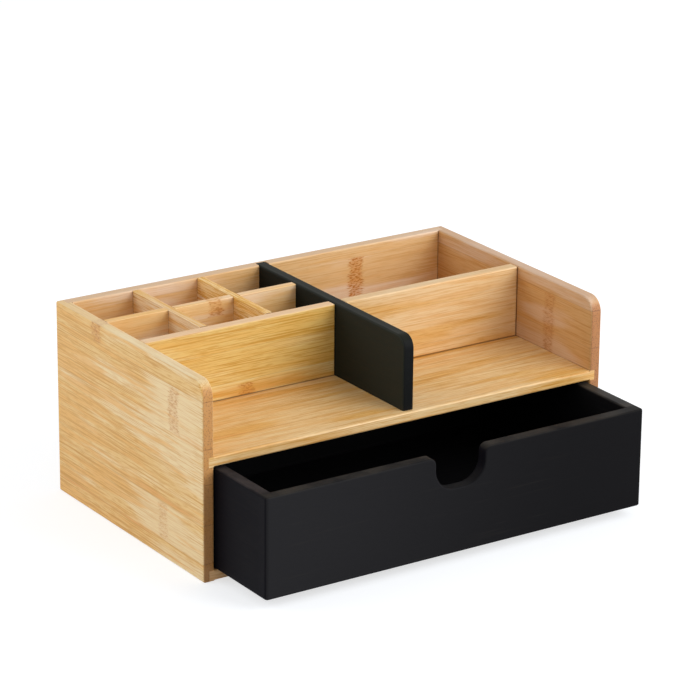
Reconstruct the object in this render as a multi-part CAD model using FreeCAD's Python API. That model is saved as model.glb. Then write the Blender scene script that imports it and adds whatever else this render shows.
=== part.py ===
"""Desk organizer in bamboo with a black drawer and a black centre divider.

Millimetres. +X is to the right, +Y to the back and +Z up. The origin is on the surface the
organizer stands on, below the middle of the cabinet. The drawer is drawn partly pulled out.
"""
import FreeCAD, Part
import os

# ---- Cabinet ----
cabinet_width = 250.0
cabinet_depth = 150.0
cabinet_height = 108.0
side_thickness = 6.5
back_thickness = 6.5
base_thickness = 5.7
shelf_thickness = 5.4
drawer_opening_height = 56.3     # from the base board up to the shelf
side_housing_depth = 3.0         # how far base, shelf and back are let into the sides
side_corner_radius = 8.5         # front top corners of the two sides
arris_radius = 1.0               # eased edges of the bamboo boards

# ---- Upper deck ----
divider_thickness = 6.5
divider_offset = 1.8             # middle of the centre divider, right of the cabinet's middle
divider_setback = 2.8            # its front edge, behind the front edge of the shelf
divider_corner_radius = 7.0      # its front top corner
divider_housing_depth = 4.0      # how far it is let into the back panel
front_tray_depth = 67.4          # from the front edge of the shelf to the partitions
partition_thickness = 6.5
partition_setdown = 0.3          # tops of partitions and slats below the tops of the sides
slat_thickness = 4.5
slat_arris_radius = 0.5
left_well_width = 37.0
middle_well_width = 35.8
front_well_depth = 32.5

# ---- Drawer ----
drawer_wall = 7.0
drawer_side_gap = 0.7            # running clearance on each side
drawer_floor_gap = 0.4
drawer_top_gap = 0.9
drawer_rear_gap = 1.5            # left behind the drawer when it is pushed home
drawer_pulled_out = 48.0
drawer_corner_radius = 1.8       # upright outer corners
drawer_arris_radius = 1.1
drawer_bottom_thickness = 3.5
drawer_bottom_rise = 2.5         # underside of the bottom panel above the lower edge of the walls
drawer_groove_depth = 3.0
notch_width = 30.6
notch_depth = 19.0
notch_bottom_radius = 12.0
notch_shoulder_radius = 4.0

# ---- Planes that several boards share ----
front = -cabinet_depth / 2
back = cabinet_depth / 2
back_inner = back - back_thickness
inner_half_width = cabinet_width / 2 - side_thickness
base_top = base_thickness
shelf_bottom = base_top + drawer_opening_height
shelf_top = shelf_bottom + shelf_thickness
divider_left = divider_offset - divider_thickness / 2
divider_right = divider_offset + divider_thickness / 2
partition_front = front + front_tray_depth
partition_back = partition_front + partition_thickness
partition_top = cabinet_height - partition_setdown

drawer_half_width = inner_half_width - drawer_side_gap
drawer_front = front - drawer_pulled_out
drawer_back = back_inner - drawer_rear_gap - drawer_pulled_out
drawer_low = base_top + drawer_floor_gap
drawer_top = shelf_bottom - drawer_top_gap

TOLERANCE = 1e-4


def span(a, b):
    """Two values in rising order."""
    return (min(a, b), max(a, b))


def block(x, y, z):
    """A box between the given (low, high) pairs."""
    corner = FreeCAD.Vector(x[0], y[0], z[0])
    return Part.makeBox(x[1] - x[0], y[1] - y[0], z[1] - z[0], corner)


def lies_on(edge, axis, value):
    """True if the whole edge lies on the plane where the axis (0, 1 or 2) has this value."""
    points = edge.discretize(5)
    return all(abs(point[axis] - value) < TOLERANCE for point in points)


def runs_along(edge, axis):
    """True if the edge is straight and parallel to the axis."""
    reach = edge.lastVertex().Point - edge.firstVertex().Point
    return abs(abs(reach[axis]) - edge.Length) < TOLERANCE


def eased(shape, radius, choose):
    """The shape with each edge that choose() accepts rounded over."""
    edges = [edge for edge in shape.Edges if choose(edge)]
    return shape.makeFillet(radius, edges)


def save(shape, node):
    solid = shape.Solids[0]
    solid.exportStep("parts/" + node + ".step")


# ---- Cabinet ----

def upright_profile(x, y_front, y_back, z_low, radius):
    """An upright board's side view, as a face: square, with its front top corner rounded."""
    def point(y, z):
        return FreeCAD.Vector(x, y, z)
    centre_y = y_front + radius
    centre_z = cabinet_height - radius
    diagonal = radius * 0.5 ** 0.5
    corner = Part.Arc(point(y_front, centre_z),
                      point(centre_y - diagonal, centre_z + diagonal),
                      point(centre_y, cabinet_height)).toShape()
    outline = Part.Wire([
        Part.makeLine(point(y_front, z_low), point(y_front, centre_z)),
        corner,
        Part.makeLine(point(centre_y, cabinet_height), point(y_back, cabinet_height)),
        Part.makeLine(point(y_back, cabinet_height), point(y_back, z_low)),
        Part.makeLine(point(y_back, z_low), point(y_front, z_low)),
    ])
    return Part.Face(outline)


def outer_walls():
    """The two sides and the back in one, sanded as one: every edge a hand meets is eased."""
    half_width = cabinet_width / 2
    walls = upright_profile(-half_width, front, back, 0.0, side_corner_radius)
    walls = walls.extrude(FreeCAD.Vector(cabinet_width, 0, 0))
    walls = walls.cut(block((-inner_half_width, inner_half_width),
                            (front - cabinet_depth, back_inner),
                            (-cabinet_height, 2 * cabinet_height)))

    def exposed(edge):
        on_outer_face = lies_on(edge, 0, -half_width) or lies_on(edge, 0, half_width)
        on_inner_face = lies_on(edge, 0, -inner_half_width) or lies_on(edge, 0, inner_half_width)
        on_top = lies_on(edge, 2, cabinet_height)
        on_floor = lies_on(edge, 2, 0.0)
        at_back = lies_on(edge, 1, back)
        inside_corner = lies_on(edge, 1, back_inner) and not on_top
        return ((on_outer_face or on_top or at_back or (on_inner_face and not on_floor))
                and not inside_corner)
    return eased(walls, arris_radius, exposed)


def back_space():
    """What the back panel takes up, its ends in the rebates of the sides included."""
    reach = inner_half_width + side_housing_depth
    return block((-reach, reach), (back_inner, back), (0.0, cabinet_height))


def board_space(z_low, z_high):
    """What a level board takes up between these heights, its ends in the sides included."""
    reach = inner_half_width + side_housing_depth
    return block((-reach, reach), (front, back_inner), (z_low, z_high))


def level_board(z_low, z_high):
    """A board with its ends let into the sides and its front edge eased between them."""
    middle = block((-inner_half_width, inner_half_width), (front, back_inner), (z_low, z_high))
    ends = board_space(z_low, z_high).cut(middle)
    middle = eased(middle, arris_radius,
                   lambda edge: lies_on(edge, 1, front) and runs_along(edge, 0))
    return middle.fuse(ends).removeSplitter()


def side(walls, direction):
    """The left (-1) or right (+1) side panel, with its rebates and the shelf's groove."""
    reach = span(direction * inner_half_width, direction * cabinet_width / 2)
    panel = walls.common(block(reach, (front, back), (0.0, cabinet_height)))
    return panel.cut([back_space(), board_space(shelf_bottom, shelf_top),
                      board_space(0.0, base_top)])


def back_panel(walls):
    """The back, grooved from the shelf up for the rear end of the centre divider."""
    groove = block((divider_left, divider_right),
                   (back_inner, back_inner + divider_housing_depth),
                   (shelf_top, cabinet_height))
    return walls.common(back_space()).cut(groove)


def centre_divider():
    y_front = front + divider_setback
    y_back = back_inner + divider_housing_depth
    board = upright_profile(divider_left, y_front, y_back, shelf_top, divider_corner_radius)
    board = board.extrude(FreeCAD.Vector(divider_thickness, 0, 0))

    def exposed(edge):
        on_face = lies_on(edge, 0, divider_left) or lies_on(edge, 0, divider_right)
        return on_face and not lies_on(edge, 1, y_back) and not lies_on(edge, 2, shelf_top)
    return eased(board, arris_radius, exposed)


def partition(x_low, x_high):
    """A wall across the deck, glued between two uprights, with all its edges eased."""
    board = block((x_low, x_high), (partition_front, partition_back), (shelf_top, partition_top))
    return eased(board, arris_radius, lambda edge: True)


# ---- Pen wells ----

slat_lap_height = (shelf_top + partition_top) / 2
long_slat_front = partition_back + front_well_depth
long_slat_back = long_slat_front + slat_thickness
left_slat_x = -inner_half_width + left_well_width
right_slat_x = left_slat_x + slat_thickness + middle_well_width


def top_arrises(shape, axis):
    """The slat with its two long top edges eased."""
    return eased(shape, slat_arris_radius,
                 lambda edge: lies_on(edge, 2, partition_top) and runs_along(edge, axis))


def long_slat():
    """From the left side to the centre divider, slotted from above for the two cross slats."""
    slat = block((-inner_half_width, divider_left), (long_slat_front, long_slat_back),
                 (shelf_top, partition_top))
    slots = [block((x, x + slat_thickness), (long_slat_front, long_slat_back),
                   (slat_lap_height, partition_top)) for x in (left_slat_x, right_slat_x)]
    return top_arrises(slat, 0).cut(slots)


def cross_slat(x):
    """From the partition to the back panel, slotted from below to sit over the long slat."""
    slat = block((x, x + slat_thickness), (partition_back, back_inner),
                 (shelf_top, partition_top))
    slot = block((x, x + slat_thickness), (long_slat_front, long_slat_back),
                 (shelf_top, slat_lap_height))
    return top_arrises(slat, 1).cut(slot)


# ---- Drawer ----

drawer_inner_half_width = drawer_half_width - drawer_wall
drawer_inner_front = drawer_front + drawer_wall
drawer_inner_back = drawer_back - drawer_wall
bottom_low = drawer_low + drawer_bottom_rise
bottom_high = bottom_low + drawer_bottom_thickness


def notch():
    """The finger notch: a U with rounded lower corners and shoulders, cut through the front."""
    half = notch_width / 2
    shoulder = notch_shoulder_radius
    floor = drawer_top - notch_depth
    above = drawer_top + notch_depth
    y_low = drawer_front - drawer_wall
    slot = block((-half, half), (y_low, drawer_inner_front), (floor, above))
    slot = eased(slot, notch_bottom_radius,
                 lambda edge: runs_along(edge, 1) and lies_on(edge, 2, floor))
    for direction in (-1, 1):
        outer = direction * (half + shoulder)
        flare = block(span(direction * half, outer), (y_low, drawer_inner_front),
                      (drawer_top - shoulder, drawer_top))
        post = Part.makeCylinder(shoulder, drawer_inner_front - y_low,
                                 FreeCAD.Vector(outer, y_low, drawer_top - shoulder),
                                 FreeCAD.Vector(0, 1, 0))
        slot = slot.fuse(flare.cut(post))
    return slot


def drawer_walls():
    """The drawer's four walls in one, with their edges rounded over before painting."""
    walls = block((-drawer_half_width, drawer_half_width), (drawer_front, drawer_back),
                  (drawer_low, drawer_top))
    walls = eased(walls, drawer_corner_radius, lambda edge: runs_along(edge, 2))
    walls = walls.cut(block((-drawer_inner_half_width, drawer_inner_half_width),
                            (drawer_inner_front, drawer_inner_back),
                            (0.0, cabinet_height)))
    walls = walls.cut(notch()).removeSplitter()

    def inside_rim(point):
        return (abs(point.x) < drawer_inner_half_width + TOLERANCE
                and drawer_inner_front - TOLERANCE < point.y < drawer_inner_back + TOLERANCE)

    def exposed(edge):
        middle = edge.CenterOfMass
        on_front_wall = lies_on(edge, 1, drawer_front) or lies_on(edge, 1, drawer_inner_front)
        beside_notch = abs(middle.x) < notch_width and middle.y < drawer_inner_front + TOLERANCE
        if lies_on(edge, 2, drawer_low):
            return not inside_rim(middle)
        if beside_notch:
            return on_front_wall
        return lies_on(edge, 2, drawer_top)
    return eased(walls, drawer_arris_radius, exposed)


def drawer_bottom():
    """The bottom panel, its rim in the grooves of the four walls."""
    reach = drawer_inner_half_width + drawer_groove_depth
    return block((-reach, reach),
                 (drawer_inner_front - drawer_groove_depth, drawer_inner_back + drawer_groove_depth),
                 (bottom_low, bottom_high))


def drawer_board(walls, x, y):
    """One wall of the drawer, grooved for the bottom panel."""
    return walls.common(block(x, y, (drawer_low, drawer_top))).cut(drawer_bottom())


os.makedirs("parts", exist_ok=True)

cabinet_walls = outer_walls()
save(side(cabinet_walls, -1), "left_side")
save(side(cabinet_walls, 1), "right_side")
save(back_panel(cabinet_walls), "back_panel")
save(level_board(0.0, base_top), "base_board")
save(level_board(shelf_bottom, shelf_top), "shelf")
save(centre_divider(), "centre_divider")
save(partition(-inner_half_width, divider_left), "pen_bay_front")
save(partition(divider_right, inner_half_width), "rear_bin_front")
save(long_slat(), "pen_bay_long_divider")
save(cross_slat(left_slat_x), "pen_bay_cross_divider_left")
save(cross_slat(right_slat_x), "pen_bay_cross_divider_right")

box_walls = drawer_walls()
full_width = (-drawer_half_width, drawer_half_width)
inner_width = (-drawer_inner_half_width, drawer_inner_half_width)
save(drawer_board(box_walls, full_width, (drawer_front, drawer_inner_front)), "drawer_front")
save(drawer_board(box_walls, (-drawer_half_width, -drawer_inner_half_width),
                  (drawer_inner_front, drawer_back)), "drawer_left_side")
save(drawer_board(box_walls, (drawer_inner_half_width, drawer_half_width),
                  (drawer_inner_front, drawer_back)), "drawer_right_side")
save(drawer_board(box_walls, inner_width, (drawer_inner_back, drawer_back)), "drawer_back")
save(drawer_bottom(), "drawer_bottom")
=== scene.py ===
"""Looks for a bamboo desk organizer with a black drawer: boards, paint, studio and camera.

Metres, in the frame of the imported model: +X to the right, +Y to the back, +Z up. The finishes
are laid out in millimetres, as a maker would measure the boards.
"""
import math

import bpy
from mathutils import Matrix, Vector

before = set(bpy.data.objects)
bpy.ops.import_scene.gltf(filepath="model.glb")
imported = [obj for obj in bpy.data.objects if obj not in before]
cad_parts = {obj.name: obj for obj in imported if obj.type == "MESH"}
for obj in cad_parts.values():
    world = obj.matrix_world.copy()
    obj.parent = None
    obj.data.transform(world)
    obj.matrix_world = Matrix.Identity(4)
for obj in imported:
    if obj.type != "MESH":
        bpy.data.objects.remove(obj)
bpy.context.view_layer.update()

X, Y, Z = 0, 1, 2
MILLIMETRES = 1000.0        # in a metre

# Where the boards meet, in millimetres.
SHELF_TOP = 67.4
TRAY_BACK = -7.6            # the front faces of the pen bay and of the rear bin
WELL_FRONT = -1.1           # the rear face of the pen bay's front
SLAT_FRONT = 31.4           # the long slat's two faces
SLAT_REAR = 35.9
BACK_FACE = 68.5            # the back panel's inner face
LEFT_WALL = -118.5          # the sides' inner faces
RIGHT_WALL = 118.5

# A face that looks up is an upper edge only above these heights.
BAMBOO_EDGES = 100.0
PAINTED_EDGES = 52.0

MIDDLE = 0.5                # of a noise, which runs from 0 to 1
FACING = 0.5                # a face looks along an axis where its normal has more than this of it


# ---- Writing a finish ----

class Number:
    """A number that varies over a surface. Arithmetic on it adds Math nodes to its finish."""

    def __init__(self, finish, socket):
        self.finish = finish
        self.socket = socket

    def __add__(self, other):
        return self.finish.math("ADD", self, other)

    def __sub__(self, other):
        return self.finish.math("SUBTRACT", self, other)

    def __rsub__(self, other):
        return self.finish.math("SUBTRACT", other, self)

    def __mul__(self, other):
        return self.finish.math("MULTIPLY", self, other)

    def __truediv__(self, other):
        return self.finish.math("DIVIDE", self, other)

    def __abs__(self):
        return self.finish.math("ABSOLUTE", self)

    def __gt__(self, other):
        return self.finish.math("GREATER_THAN", self, other)

    __radd__ = __add__
    __rmul__ = __mul__


class Finish:
    """The nodes of a material or a world while they are being laid out."""

    def __init__(self, owner):
        self.owner = owner
        owner.use_nodes = True
        self.tree = owner.node_tree
        self.tree.nodes.clear()

    def node(self, kind, settings=None, sockets=None):
        """A shader node: its settings are set first, then the values or links of its sockets."""
        made = self.tree.nodes.new("ShaderNode" + kind)
        for name, value in (settings or {}).items():
            setattr(made, name, value)
        for name, value in (sockets or {}).items():
            if isinstance(value, Number):
                value = value.socket
            if isinstance(value, bpy.types.NodeSocket):
                self.tree.links.new(value, made.inputs[name])
            else:
                made.inputs[name].default_value = value
        return made

    def number(self, *node):
        """The first output of a new node, as a number."""
        return Number(self, self.node(*node).outputs[0])

    def math(self, operation, *values):
        """A Math node on these numbers."""
        return self.number("Math", {"operation": operation}, dict(enumerate(values)))

    def smallest(self, values):
        """The smallest of several numbers."""
        least = values[0]
        for value in values[1:]:
            least = self.math("MINIMUM", least, value)
        return least

    def rise(self, value, low, high):
        """0 up to low, 1 from high on, and a smooth rise between them."""
        return self.number("MapRange", {"interpolation_type": "SMOOTHSTEP"},
                           {"Value": value, "From Min": low, "From Max": high})

    def blend(self, factor, first, second, how="MIX"):
        """Two colours mixed, as a colour socket."""
        mixed = self.node("Mix", {"data_type": "RGBA", "blend_type": how},
                          {"Factor": factor, "A": first, "B": second})
        return mixed.outputs["Result"]

    def tinted(self, colour, tint, where=1.0):
        """The colour times a tint of red, green and blue."""
        return self.blend(where, colour, (*tint, 1), "MULTIPLY")

    def combine(self, x, y, z):
        """Three numbers as a vector socket."""
        return self.node("CombineXYZ", {}, {"X": x, "Y": y, "Z": z}).outputs[0]

    def separate(self, vector):
        """The x, y and z of a vector, as numbers."""
        parts = self.node("SeparateXYZ", {}, {"Vector": vector})
        return [Number(self, output) for output in parts.outputs]

    def stretched(self, point, size):
        """The point measured in these three lengths."""
        scaled = self.node("VectorMath", {"operation": "DIVIDE"}, {0: point, 1: size})
        return scaled.outputs[0]

    def noise(self, point, size, detail=2.0, roughness=0.5):
        """Soft noise from 0 to 1 with patches of about this size, three lengths."""
        return self.number("TexNoise", {}, {"Vector": self.stretched(point, size),
                                            "Scale": 1.0, "Detail": detail,
                                            "Roughness": roughness})

    def cells(self, point, size):
        """Distance to the nearest of many scattered points, about this far apart."""
        return self.number("TexVoronoi", {}, {"Vector": self.stretched(point, size),
                                              "Scale": 1.0})

    def surface_point(self):
        """The place on the piece in millimetres and the way its surface faces, x, y, z each."""
        spot = self.node("TexCoord")
        scaled = self.node("VectorMath", {"operation": "SCALE"},
                           {0: spot.outputs["Object"], "Scale": MILLIMETRES})
        return self.separate(scaled.outputs[0]), self.separate(spot.outputs["Normal"])

    def surface(self, sockets, height, depth):
        """The shader itself, with its relief: height from 0 to 1 stands for this depth."""
        bump = self.node("Bump", {}, {"Height": height, "Distance": depth, "Strength": 1.0})
        shader = self.node("BsdfPrincipled", {}, {**sockets, "Normal": bump.outputs[0]})
        self.node("OutputMaterial", {}, {"Surface": shader.outputs[0]})
        return self.owner

    def shown(self):
        """1 where the camera, a gloss or glass looks, and 0 for the light that falls on things."""
        path = self.node("LightPath")
        rays = [Number(self, path.outputs[ray])
                for ray in ("Is Camera Ray", "Is Glossy Ray", "Is Transmission Ray")]
        return self.math("MAXIMUM", self.math("MAXIMUM", rays[0], rays[1]), rays[2])


# ---- Bamboo ----

# The cane's own shades, from pale to dark.
STRAW = (0.89, 0.665, 0.380, 1)
HONEY = (0.83, 0.535, 0.205, 1)
AMBER = (0.82, 0.425, 0.095, 1)
CANE_SKIN = (0.78, 0.375, 0.095, 1)
STRAND = (0.64, 0.300, 0.038, 1)
CANE_JOINT = (0.58, 0.205, 0.020, 1)
PORE = (0.25, 0.095, 0.028, 1)

# What the maker's saw, sander and glue leave. The sanded shades also paint the lacquer's sheen on
# the upper edges.
CUT_END = (0.55, 0.247, 0.069, 1)
SANDED_AND_SHEEN = (0.78, 0.660, 0.480, 1)
ROSY_SANDED_AND_SHEEN = (0.91, 0.590, 0.490, 1)
GREY_SANDED_AND_SHEEN = (0.63, 0.440, 0.250, 1)
GLUE = (0.22, 0.085, 0.030, 1)

# The sizes of the grain in millimetres: along it, across the strips and through the board.
WANDER_SIZE = (70.0, 12.0, 12.0)
CLOUD_SIZE = (75.0, 11.0, 11.0)
RIBBON_SIZE = (45.0, 3.2, 3.2)
STRAND_SIZE = (42.0, 0.62, 0.62)
HAIR_SIZE = (8.0, 0.48, 0.48)
BUNDLE_SIZE = (22.0, 0.85, 0.85)
FLECK_SIZE = (2.0, 0.68, 0.68)

# More lengths in millimetres.
STRIP_SHIFT_ALONG = 700.0       # how far apart two strips may be cut along the cane
STRIP_SHIFT_THROUGH = 90.0      # and through it
STRIP_WANDER = 1.5              # how far the grain drifts across a strip
SKIN_WANDER = 3.0               # how far a line of cane skin drifts
KNUCKLE_WANDER = 5.0            # how far a knuckle drifts along the grain
KNUCKLE_BOW = 3.0               # four times how far it bows towards the edges of its strip
KNUCKLE_EDGE = 1.0              # how softly it ends there
KNUCKLE_RAGS = 9.0              # how far it runs out along the strands
KNUCKLE_RIM = 3.4               # from its middle to the dark rim on each side

# Where each feature starts and where it is full: first by millimetres, then by noise or cells
# from 0 to 1, and last by how squarely the face looks along an axis.
SEAM = (0.32, 0.10)             # from where two strips meet
CORNER = (0.52, 0.12)           # from where two boards meet
CORE = (5.4, 2.4)               # from the middle of a knuckle
RIM = (1.2, 0.2)                # from its rim
NEAR_KNUCKLE = (42.0, 8.0)
PAINTED_SHADE_LOW = (66.0, 42.0)             # over the floor: a painted shade on the end grain
RIPE_CLOUD = (0.40, 0.57)
AMBER_RIBBON = (0.44, 0.66)
DARK_STRAND = (0.50, 0.66)
DARK_HAIR = (0.50, 0.68)
BUNDLE = (0.30, 0.08)
OPEN_PORE = (0.42, 0.20)
SKIN_RIBBON = (0.32, 0.52)
SKIN_CLOUD = (0.42, 0.58)
STAINED_FLECK = (0.46, 0.60)
DARK_FLECK = (0.52, 0.66)
GLUEY_CLOUD = (0.34, 0.56)
FACING_END = (0.62, 0.96)
FACING_UP = (0.50, 0.95)

# How much of a shade each feature lays over the board where it is full.
SKIN_COVER = 0.85
STRAND_COVER = 0.62
HAIR_COVER = 0.40
BUNDLE_COVER = 0.25
CORE_COVER = 0.75
RIM_COVER = 0.30
STAIN_COVER = 0.32              # over all of a knuckle
STAINED_FLECK_COVER = 0.62      # and on its flecks as well
DARK_FLECK_COVER = 0.22
CUT_END_COVER = 0.92
PORE_COVER = 0.70
# how dark the painted shade makes the end grain low down
PAINTED_SHADE_COVER = 0.38
CORNER_COVER = 0.35
GLUEY_COVER = 0.50              # where the corner has more glue
SEAM_COVER = 0.03
SEAM_LUCK = 0.17                # how much more of it some seams have
SEAM_END_COVER = 0.35           # and how much more it is on end grain

# How much one thing changes another.
STRIP_RIPENESS = 0.20           # strips differ in ripeness by luck
KNUCKLE_PALENESS = 0.12         # the cane is less ripe near a knuckle
KNUCKLE_AMBER = 0.06            # and has less amber there
FADED_AMBER = 0.7               # a board that ripens along its grain gets more amber too
SKIN_CORE = 0.2                 # a line of skin is darkest in this much of its width
FIBRES_IN_STRAW = 0.70          # how dense the fibres are in straw
FIBRES_IN_HONEY = 0.55          # and how much denser in honey
FIBRES_NEAR_KNUCKLE = 0.30      # and how much sparser near a knuckle
PORES_IN_PAINTED_SHADE = 0.4                # pores are fainter in the painted shade low down
SANDED_CORNER = 0.9             # sanding takes the glue lines off the upper edges

LACQUER_ROUGHNESS = 0.31        # of the smooth face, and what each of these adds to it
HAIR_ROUGHNESS = 0.14
END_ROUGHNESS = 0.20
SANDED_ROUGHNESS = 0.30
BAMBOO_GLOSS = 0.55

BAMBOO_RELIEF = 0.00010         # the depth of the grain in metres, and each feature's part of it
STRAND_RELIEF = 0.35
HAIR_RELIEF = 0.45
SEAM_RELIEF = 0.3
PORE_RELIEF = 0.8


class Bamboo(Finish):
    """A board of flat cane strips glued edge to edge, while its finish is being laid out.

    along and across are the axes of the grain and of the strips' widths. seams are the places
    across the board where strips meet, and seed tells this board's strips from the others.
    """

    def __init__(self, name, along, across, seams, seed):
        super().__init__(bpy.data.materials.new(name))
        self.place, self.facing = self.surface_point()
        self.through = X + Y + Z - along - across
        self.length = self.place[along]
        self.width = self.place[across]
        depth = self.place[self.through]

        strip = sum(self.width > seam for seam in seams) + float(seed)
        self.luck = self.separate(self.node("TexWhiteNoise", {"noise_dimensions": "1D"},
                                            {"W": strip}).outputs["Color"])
        self.seam = self.rise(self.smallest([abs(self.width - seam) for seam in seams]), *SEAM)

        here = self.combine(self.length, self.width, depth)
        self.wander = self.noise(here, WANDER_SIZE) - MIDDLE
        self.cane = self.combine(self.length + self.luck[0] * STRIP_SHIFT_ALONG,
                                 self.width + self.wander * STRIP_WANDER,
                                 depth + self.luck[1] * STRIP_SHIFT_THROUGH)
        self.clouds = self.noise(self.cane, CLOUD_SIZE, roughness=0.4)
        self.ribbons = self.noise(self.cane, RIBBON_SIZE)
        self.strands = self.noise(self.cane, STRAND_SIZE, detail=1.0)
        self.hairs = self.noise(self.cane, HAIR_SIZE, detail=1.0)
        self.bundles = self.cells(self.cane, BUNDLE_SIZE)
        self.pores = self.rise(self.bundles, *OPEN_PORE)

        self.endwise = self.rise(abs(self.facing[along]), *FACING_END)
        self.top_edge = self.rise(self.facing[Z], *FACING_UP) * (self.place[Z] > BAMBOO_EDGES)

    def knuckles(self, cane_joints):
        """How much of a knuckle each place is, and how near to one, both from 0."""
        knuckle = 0.0
        near = 0.0
        for at, low, high, strength in cane_joints:
            bow = (self.width - (low + high) / 2) / (high - low)
            off = abs(self.length - at + self.wander * KNUCKLE_WANDER + bow * bow * KNUCKLE_BOW)
            inside = (self.rise(self.width, low, low + KNUCKLE_EDGE)
                      * self.rise(self.width, high, high - KNUCKLE_EDGE))
            ragged = off + (self.strands - MIDDLE) * KNUCKLE_RAGS
            core = self.rise(ragged, *CORE) * CORE_COVER
            rim = self.rise(abs(ragged - KNUCKLE_RIM), *RIM) * RIM_COVER
            knuckle = (core + rim) * inside * strength + knuckle
            near = self.rise(off, *NEAR_KNUCKLE) * inside + near
        return knuckle, near

    def long_grain(self, near, ripeness, fade, streaks, fibres, skins):
        """The colour along the cane: clouds, ribbons and skins, then the fibres in it."""
        riper = self.length * fade
        ripe = self.clouds + (self.luck[2] - MIDDLE) * STRIP_RIPENESS
        ripe = self.rise(ripe - near * KNUCKLE_PALENESS + riper + ripeness, *RIPE_CLOUD)
        colour = self.blend(ripe, STRAW, HONEY)
        amber = self.ribbons - near * KNUCKLE_AMBER + riper * FADED_AMBER
        amber = self.rise(amber, *AMBER_RIBBON)
        colour = self.blend(amber * streaks, colour, AMBER)
        for at, half_width in skins:
            off = abs(self.width - at + self.wander * SKIN_WANDER)
            skin = self.rise(off, half_width, half_width * SKIN_CORE)
            skin = skin * self.rise(self.ribbons, *SKIN_RIBBON) * self.rise(self.clouds, *SKIN_CLOUD)
            colour = self.blend(skin * SKIN_COVER, colour, CANE_SKIN)
        dense = ripe * FIBRES_IN_HONEY + FIBRES_IN_STRAW - near * FIBRES_NEAR_KNUCKLE
        dense = dense * fibres
        strand = self.rise(self.strands, *DARK_STRAND) * STRAND_COVER * dense
        colour = self.blend(strand, colour, STRAND)
        hair = self.rise(self.hairs, *DARK_HAIR) * HAIR_COVER * dense
        colour = self.blend(hair, colour, STRAND)
        bundle = self.rise(self.bundles, *BUNDLE) * BUNDLE_COVER * fibres
        return self.blend(bundle, colour, STRAND)

    def with_knuckles(self, colour, knuckle):
        """The colour with a stain on the knuckles, and darker flecks in it."""
        flecks = self.noise(self.cane, FLECK_SIZE)
        stain = self.rise(flecks, *STAINED_FLECK) * STAINED_FLECK_COVER + STAIN_COVER
        colour = self.blend(knuckle * stain, colour, CANE_JOINT)
        dark = knuckle * self.rise(flecks, *DARK_FLECK) * DARK_FLECK_COVER
        return self.blend(dark, colour, PORE)

    def with_cut_ends(self, colour):
        """The colour with pores on the end grain, and a painted shade that darkens it low down on
        the board.
        """
        # Painted shade: the end grain grows darker towards the floor.
        low_shade = self.rise(self.place[Z], *PAINTED_SHADE_LOW)
        dark = self.pores * PORE_COVER * (1.0 - low_shade * PORES_IN_PAINTED_SHADE) + low_shade * PAINTED_SHADE_COVER
        cut = self.blend(dark, CUT_END, PORE)
        return self.blend(self.endwise * CUT_END_COVER, colour, cut)

    def with_corner_lines(self, colour, corners, inward):
        """The colour with the glue lines in the corners that the board makes with others."""
        gap = self.smallest([abs(self.place[axis] - at) for axis, at in corners])
        glue = self.rise(self.clouds, *GLUEY_CLOUD) * GLUEY_COVER + CORNER_COVER
        line = self.rise(gap, *CORNER) * glue * (1.0 - self.top_edge * SANDED_CORNER)
        if inward:
            line = line * (self.facing[self.through] * inward > FACING)
        return self.blend(line, colour, GLUE)


def bamboo(name, along, across, seams, seed, cane_joints=(), skins=(), corners=(), inward=0,
           tint=(1, 1, 1), outside=(1, 1, 1), upper=(SANDED_AND_SHEEN, 0.18),
           streaks=0.45, fibres=1.0, ripeness=0.0, fade=0.0):
    """A board's finish. Bamboo says what along, across, seams and seed are.

    cane_joints  (along, low, high, strength) for each knuckle of the cane: its place along the
                 grain, the edges of the strip it is in and how dark it is
    skins        (place, half width) across the board of lines with the cane's darker outer skin
    corners      (axis, place) of the glued corners that the board makes with its neighbours
    inward       1 or -1 where the corners are only on the face that looks that way through the
                 board, and 0 where they are on every face
    tint         the board's own shade of bamboo
    outside      a further tint of the face that looks away from inward; its difference from the
             inner face is painted light and shade
    upper        the colour of the upper edge, sanded wood with a painted sheen, and how much of
             it that colour covers
    streaks      how strong the amber ribbons are
    fibres       how much the thin dark strands and hairs stand out
    ripeness     how much of the straw has turned to honey
    fade         how much riper the board gets with each millimetre along the grain
    """
    board = Bamboo(name, along, across, seams, seed)
    knuckle, near = board.knuckles(cane_joints)
    colour = board.long_grain(near, ripeness, fade, streaks, fibres, skins)
    if cane_joints:
        colour = board.with_knuckles(colour, knuckle)
    colour = board.with_cut_ends(colour)
    # The upper edges' own colour: partly sanded wood, partly a painted sheen.
    edge_colour, cover = upper
    colour = board.blend(board.top_edge * cover, colour, edge_colour)
    glue = board.endwise * SEAM_END_COVER + board.luck[1] * SEAM_LUCK + SEAM_COVER
    colour = board.blend(board.seam * glue, colour, GLUE)
    if corners:
        colour = board.with_corner_lines(colour, corners, inward)
    colour = board.tinted(colour, tint)
    # Inner and outer faces of one board differ in tint: painted light and shade inside the
    # organizer.
    if inward:
        outer_face = board.facing[board.through] * -inward > FACING
        colour = board.tinted(colour, outside, outer_face)

    roughness = (board.hairs * HAIR_ROUGHNESS + board.endwise * END_ROUGHNESS
                 + board.top_edge * SANDED_ROUGHNESS + LACQUER_ROUGHNESS)
    relief = (board.strands * STRAND_RELIEF + board.hairs * HAIR_RELIEF
              - board.seam * SEAM_RELIEF - board.endwise * board.pores * PORE_RELIEF)
    return board.surface({"Base Color": colour, "Roughness": roughness,
                          "Specular IOR Level": BAMBOO_GLOSS},
                         relief, BAMBOO_RELIEF)


# ---- Black paint ----

PAINT = (0.0062, 0.0060, 0.0068, 1)
# A lighter grey for a painted reflection on the broad faces.
PAINTED_REFLECTION_GREY = (0.0190, 0.0188, 0.0205, 1)
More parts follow.
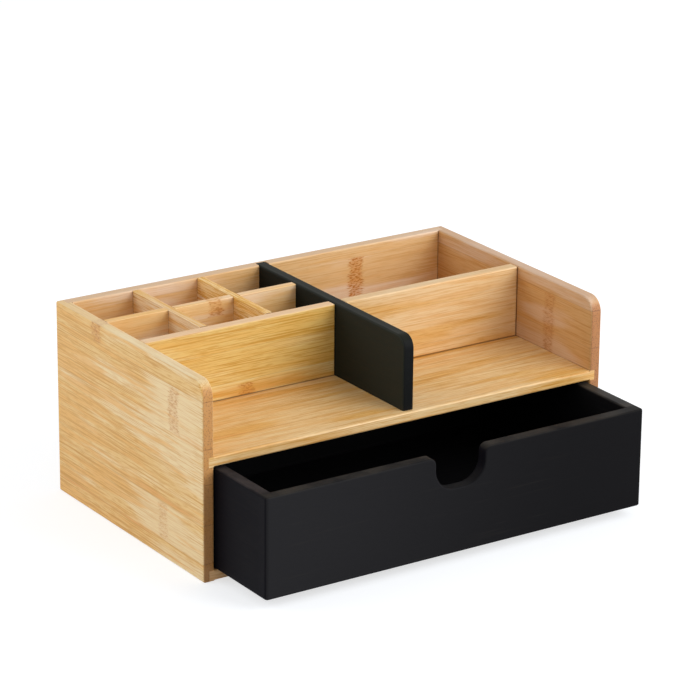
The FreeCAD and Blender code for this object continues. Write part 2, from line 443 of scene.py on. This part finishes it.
# Thin paint where the grain shows through, and the painted sheen of the upper edges.
THIN_PAINT_AND_SHEEN = (0.045, 0.039, 0.032, 1)
SOAKED_PAINT = (0.0050, 0.0047, 0.0066, 1)

GRAIN_LENGTH = 45.0             # of the strands under the paint, in mm
GRAIN_WIDTH = 1.3
MOTTLE_SIZE = (16.0, 16.0, 16.0)
NO_PAINTED_REFLECTION = (300.0, 400.0)       # places beyond the ends of every board, for no painted reflection
PAINT_RELIEF = 0.00006          # the depth of the grain, in metres

# Where each feature of the paint starts and where it is full.
PAINTED_END = (0.60, 0.95)      # how squarely the face looks along the grain
PAINTED_TOP = (0.35, 0.90)      # how squarely it looks up
RUBBED_AND_SHEEN_MOTTLE = (0.25, 0.65)
BARE_STRAND = (0.60, 0.80)

# how far the painted reflection lightens the paint
PAINTED_REFLECTION_COVER = 0.75
BARE_STRAND_COVER = 0.12
PAINT_ROUGHNESS = 0.36          # of the smooth paint, and what each of these adds to it
PAINTED_STRAND_ROUGHNESS = 0.18
MOTTLE_ROUGHNESS = 0.08


def black_paint(name, along, through, reflection_span=NO_PAINTED_REFLECTION, tint=(1, 1, 1), gloss=0.10, wear_and_sheen=0.7):
    """Matt black paint, thin enough for the grain below to show in its relief.

    along is the axis of the grain and through the one that the broad faces look along. There
    the paint is plain black at the first of the two places along the grain given next, and
    grows lighter towards the second: a painted reflection. End grain soaks the paint up and
    is darker. gloss is the strength of its sheen, and the last argument is how much lighter
    the upper edges are: paint worn thin there, and a painted sheen.
    """
    finish = Finish(bpy.data.materials.new(name))
    place, facing = finish.surface_point()
    size = [GRAIN_WIDTH, GRAIN_WIDTH, GRAIN_WIDTH]
    size[along] = GRAIN_LENGTH
    here = finish.combine(*place)
    strands = finish.noise(here, size, detail=3.0, roughness=0.6)
    mottle = finish.noise(here, MOTTLE_SIZE)

    # Painted reflection: the broad faces grow lighter along the grain.
    reflected = finish.rise(place[along], *reflection_span) * (abs(facing[through]) > FACING)
    colour = finish.blend(reflected * PAINTED_REFLECTION_COVER, PAINT, PAINTED_REFLECTION_GREY)
    endwise = finish.rise(abs(facing[along]), *PAINTED_END)
    colour = finish.blend(endwise, colour, SOAKED_PAINT)
    # The upper edges grow lighter: paint worn thin, and a painted sheen.
    rubbed_and_sheen = finish.rise(facing[Z], *PAINTED_TOP) * finish.rise(mottle, *RUBBED_AND_SHEEN_MOTTLE)
    rubbed_and_sheen = rubbed_and_sheen * (place[Z] > PAINTED_EDGES)
    thin = rubbed_and_sheen * wear_and_sheen + finish.rise(strands, *BARE_STRAND) * BARE_STRAND_COVER
    colour = finish.blend(thin, colour, THIN_PAINT_AND_SHEEN)
    roughness = (strands * PAINTED_STRAND_ROUGHNESS + mottle * MOTTLE_ROUGHNESS
                 + PAINT_ROUGHNESS)
    return finish.surface({"Base Color": finish.tinted(colour, tint), "Roughness": roughness,
                           "Specular IOR Level": gloss},
                          strands, PAINT_RELIEF)


# ---- Boards and their finishes ----

SIDE_CORNERS = ((Z, SHELF_TOP), (Y, TRAY_BACK), (Y, BACK_FACE))
CROSS_SLAT_CORNERS = ((Y, WELL_FRONT), (Y, SLAT_FRONT), (Y, SLAT_REAR), (Y, BACK_FACE))

FINISHES = {
    "left_side": bamboo(
        "bamboo left side", Y, Z, seams=(10.0, 31.0, 53.0, 72.0, 97.5), seed=3,
        cane_joints=((-46.5, 72.0, 97.5, 0.8), (-34.5, 10.0, 31.0, 0.5), (32.0, 97.5, 120.0, 1.0)),
        skins=((73.0, 2.0), (33.0, 2.6), (9.5, 1.2)),
        corners=SIDE_CORNERS, inward=1,
        tint=(1.06, 1.08, 1.02), upper=(SANDED_AND_SHEEN, 0.48),
        streaks=0.72, fibres=1.3, ripeness=0.045, fade=0.0021),
    # The right side's inner face and front edge are tinted darker than its outer face: painted
    # shade.
    "right_side": bamboo(
        "bamboo right side", Y, Z, seams=(12.0, 33.5, 55.0, 80.0, 101.0), seed=11,
        cane_joints=((-37.0, 55.0, 101.0, 0.7),),
        corners=SIDE_CORNERS, inward=-1,
        tint=(0.82, 0.73, 0.80), outside=(1.10, 1.14, 0.98), upper=(SANDED_AND_SHEEN, 0.50),
        streaks=0.35, fibres=0.8, ripeness=0.03),
    # The back's inner face is tinted paler and bluer than its outer face: painted light against the
    # warm light bounced between the boards.
    "back_panel": bamboo(
        "bamboo back", X, Z, seams=(14.0, 36.0, 58.0, 76.0, 102.0), seed=21,
        cane_joints=((62.5, 76.0, 102.0, 1.6),),
        corners=((X, LEFT_WALL), (X, RIGHT_WALL), (Z, SHELF_TOP)), inward=-1,
        tint=(1.02, 1.06, 1.38), outside=(0.98, 0.94, 0.68), upper=(GREY_SANDED_AND_SHEEN, 0.60),
        streaks=0.32, fibres=0.55, ripeness=0.05),
    "base_board": bamboo(
        "bamboo base", X, Y, seams=(-60.0, -38.0, -15.0, 8.0, 30.0, 52.0), seed=31,
        tint=(0.95, 0.79, 0.64)),
    "shelf": bamboo(
        "bamboo shelf", X, Y, seams=(-55.0, -33.0, -11.0, 12.0, 34.0, 55.0), seed=41,
        skins=((-55.0, 1.6),),
        corners=((Y, TRAY_BACK), (Y, BACK_FACE)), inward=1,
        tint=(1.00, 0.95, 0.84), fibres=1.4),
    "pen_bay_front": bamboo(
        "bamboo pen bay front", X, Z, seams=(76.0, 94.0), seed=51,
        cane_joints=((-57.0, 60.0, 74.5, 1.2),), skins=((69.5, 7.0),),
        corners=((Z, SHELF_TOP),),
        tint=(0.97, 1.03, 0.84), upper=(ROSY_SANDED_AND_SHEEN, 0.72), fibres=1.15),
    "rear_bin_front": bamboo(
        "bamboo bin front", X, Z, seams=(74.0, 97.0), seed=61,
        corners=((Z, SHELF_TOP), (X, RIGHT_WALL)),
        tint=(0.96, 0.90, 0.84), upper=(SANDED_AND_SHEEN, 0.38), streaks=0.35, fibres=0.9),
    "pen_bay_long_divider": bamboo(
        "bamboo long slat", X, Z, seams=(82.0,), seed=71,
        cane_joints=((-52.0, 98.0, 112.0, 1.0),),
        corners=((X, LEFT_WALL),),
        tint=(1.13, 1.20, 1.50), upper=(STRAND, 0.35), streaks=0.35, fibres=0.5),
    "pen_bay_cross_divider_left": bamboo(
        "bamboo left slat", Y, Z, seams=(85.0,), seed=81,
        corners=CROSS_SLAT_CORNERS,
        tint=(1.10, 1.20, 1.45), upper=(STRAND, 0.50), streaks=0.7, fibres=1.3),
    "pen_bay_cross_divider_right": bamboo(
        "bamboo right slat", Y, Z, seams=(90.0,), seed=91,
        corners=CROSS_SLAT_CORNERS,
        tint=(1.16, 1.30, 1.70), upper=(STRAND, 0.20), streaks=0.6, fibres=2.6),
    # The divider's paint is tinted lighter and browner, and grows lighter towards its front: a
    # painted reflection of the wood around it.
    "centre_divider": black_paint(
        "black paint divider", Y, X, reflection_span=(100.0, -110.0),
        tint=(1.50, 1.75, 1.30), gloss=0.05, wear_and_sheen=0.12),
    # The front is tinted lighter and grows lighter towards its left end: a painted reflection.
    "drawer_front": black_paint(
        "black paint drawer front", X, Y, reflection_span=(90.0, -125.0),
        tint=(1.17, 1.18, 1.20), gloss=0.03, wear_and_sheen=0.5),
    "drawer_back": black_paint("black paint drawer back", X, Y),
    # The left side is tinted darker than the front: painted shade.
    "drawer_left_side": black_paint(
        "black paint drawer left", Y, X, tint=(0.80, 0.78, 1.00), gloss=0.03, wear_and_sheen=1.0),
    "drawer_right_side": black_paint("black paint drawer right", Y, X),
    "drawer_bottom": black_paint("black paint drawer bottom", X, Z),
}

for node, finish in FINISHES.items():
    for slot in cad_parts[node].material_slots:
        slot.material = finish


# ---- Studio ----

WHITE = (1, 1, 1, 1)
FLOOR_GREY = (0.80, 0.80, 0.80, 1)          # what the organizer's light bounces off
FLOOR_SHOWN = (0.52, 0.55, 0.59, 1)         # what takes the shadow where the floor shows
FLOOR_GLOW = 0.65
FLOOR_WIDTH = 6.0
SKY_LIGHT = 0.53
ORGANIZER_MIDDLE = (0, 0, 0.05)


def studio_floor():
    """A pale floor that shows as white and keeps the organizer's soft shadow."""
    bpy.ops.mesh.primitive_plane_add(size=FLOOR_WIDTH)
    floor = bpy.context.object
    floor.name = "studio_floor"
    finish = Finish(bpy.data.materials.new("studio floor"))
    matt = finish.node("BsdfDiffuse", {}, {"Color": FLOOR_GREY})
    pale = finish.node("BsdfDiffuse", {}, {"Color": FLOOR_SHOWN})
    glow = finish.node("Emission", {}, {"Color": WHITE, "Strength": FLOOR_GLOW})
    white = finish.node("AddShader", {}, {0: pale.outputs[0], 1: glow.outputs[0]})
    both = finish.node("MixShader", {}, {0: finish.shown(), 1: matt.outputs[0],
                                         2: white.outputs[0]})
    finish.node("OutputMaterial", {}, {"Surface": both.outputs[0]})
    floor.data.materials.append(finish.owner)


def studio_world():
    """Soft light from all round, with a white backdrop."""
    finish = Finish(bpy.data.worlds.new("studio"))
    light = finish.node("Background", {}, {"Color": WHITE, "Strength": SKY_LIGHT})
    white = finish.node("Background", {}, {"Color": WHITE, "Strength": 1.0})
    both = finish.node("MixShader", {}, {0: finish.shown(), 1: light.outputs[0],
                                         2: white.outputs[0]})
    finish.node("OutputWorld", {}, {"Surface": both.outputs[0]})
    bpy.context.scene.world = finish.owner


def softbox(name, place, size, watts):
    """A square studio lamp at this place, pointed at the organizer."""
    lamp = bpy.data.lights.new(name, "AREA")
    lamp.shape = "SQUARE"
    lamp.size = size
    lamp.energy = watts
    holder = bpy.data.objects.new(name, lamp)
    bpy.context.collection.objects.link(holder)
    holder.location = place
    aim = Vector(ORGANIZER_MIDDLE) - Vector(place)
    holder.rotation_euler = aim.to_track_quat("-Z", "Y").to_euler()


def camera(place, yaw, pitch, roll, focal_length):
    """A camera at this place, turned left, down and over by these radians."""
    level_forward = Vector((-math.sin(yaw), math.cos(yaw), 0))
    level_right = Vector((math.cos(yaw), math.sin(yaw), 0))
    above = Vector((0, 0, 1))
    forward = math.cos(pitch) * level_forward - math.sin(pitch) * above
    up = math.sin(pitch) * level_forward + math.cos(pitch) * above
    right = math.cos(roll) * level_right + math.sin(roll) * up
    up = math.cos(roll) * up - math.sin(roll) * level_right
    lens = bpy.data.cameras.new("camera")
    lens.sensor_width = 36.0
    lens.lens = focal_length
    lens.clip_start = 0.05
    lens.clip_end = 50.0
    holder = bpy.data.objects.new("camera", lens)
    bpy.context.collection.objects.link(holder)
    holder.matrix_world = (Matrix.Translation(place)
                           @ Matrix((right, up, -forward)).transposed().to_4x4())
    bpy.context.scene.camera = holder


studio_floor()
studio_world()
softbox("right front softbox", (0.90, -1.20, 0.80), size=1.3, watts=19.5)
softbox("left rear softbox", (-1.20, 0.70, 0.70), size=0.9, watts=6.0)
camera((-0.95423, -1.44657, 0.69960), yaw=-0.58947, pitch=0.34374, roll=0.009553,
       focal_length=176.65)
bpy.context.scene.view_settings.view_transform = "Standard"
